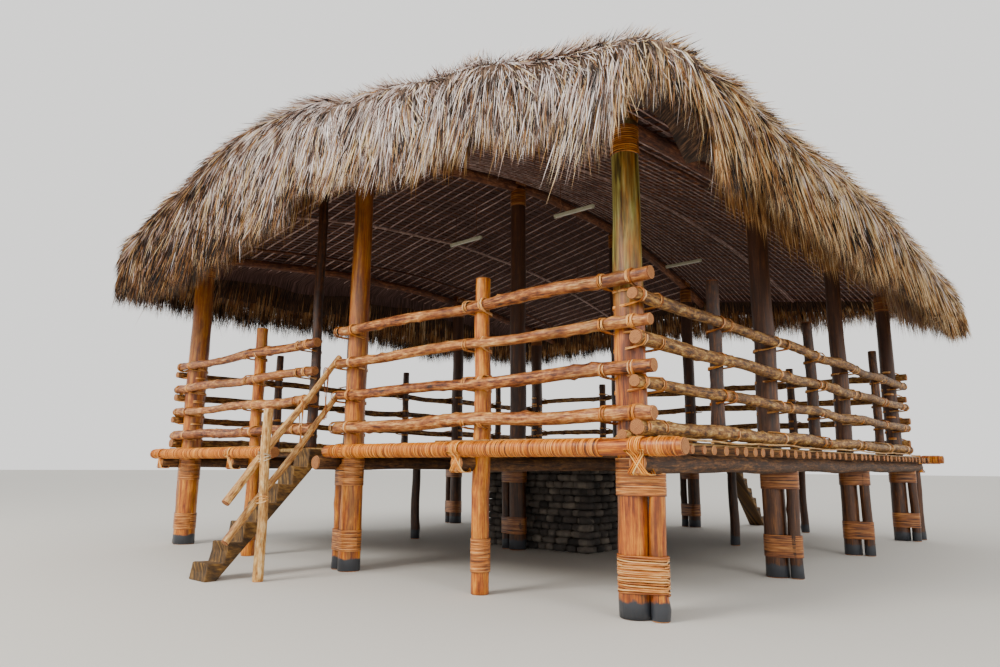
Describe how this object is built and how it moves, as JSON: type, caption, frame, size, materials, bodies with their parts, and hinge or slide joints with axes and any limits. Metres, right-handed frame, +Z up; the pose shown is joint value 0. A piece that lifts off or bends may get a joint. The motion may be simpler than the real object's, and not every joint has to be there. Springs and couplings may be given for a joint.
{
  "type": "raised timber assembly hall with thatched roof",
  "caption": "Open log hall on posts: raised floor, log railings, notched-log stairs and a broad drooping thatched roof.",
  "frame": {"origin": "on the ground at the middle of the post plan", "axes": "+Z up, -Y is the front with the main stair, +X is the right side seen from the front"},
  "size_m": [13.901, 15.7899, 8.4847],
  "materials": {
    "column": "oiled orange-brown logs, greenish peeled patches, charred feet",
    "beam": "dark brown round logs",
    "wrapped_log": "log closely wound with split rattan",
    "deck": "round joists under split cane",
    "rail": "knotty bark-brown logs with pale cut ends",
    "stair": "weathered notched log",
    "handrail": "peeled cream poles",
    "stone": "dark dry-laid river stone",
    "roof_frame": "smoke-brown poles",
    "thatch": "bleached long grass, golden brown inside",
    "lamp": "white lamp batten with a tube"
  },
  "bodies": {
    "root": {"column_right_front": "column", "column_right_second": "column", "column_right_third": "column", "column_right_back": "column", "column_middle_front": "column", "column_middle_second": "column", "column_middle_third": "column", "column_middle_back": "column", "column_left_front": "column", "column_left_second": "column", "column_left_third": "column", "column_left_back": "column", "stair_side_post": "column", "trestle_right": "beam", "trestle_inner_right": "beam", "trestle_middle": "beam", "trestle_inner_left": "beam", "trestle_left": "beam", "edge_log_front_right": "wrapped_log", "edge_log_front_left": "wrapped_log", "edge_log_back": "wrapped_log", "floor_deck_and_joists": "deck", "railing_front_right": "rail", "railing_front_left": "rail", "railing_back": "rail", "railing_right": "rail", "railing_left": "rail", "stair_front": "stair", "stair_back": "stair", "stair_handrail": "handrail", "hearth_base": "stone", "ridge_log": "roof_frame", "right_side_plate": "roof_frame", "left_side_plate": "roof_frame", "rafters_right": "roof_frame", "rafters_left": "roof_frame", "thatch_right": "thatch", "thatch_left": "thatch", "thatch_front": "thatch", "thatch_back": "thatch", "thatch_ridge": "thatch", "lamp_front_right": "lamp", "lamp_front_left": "lamp", "lamp_back_right": "lamp", "lamp_back_left": "lamp"}
  },
  "joints": []
}
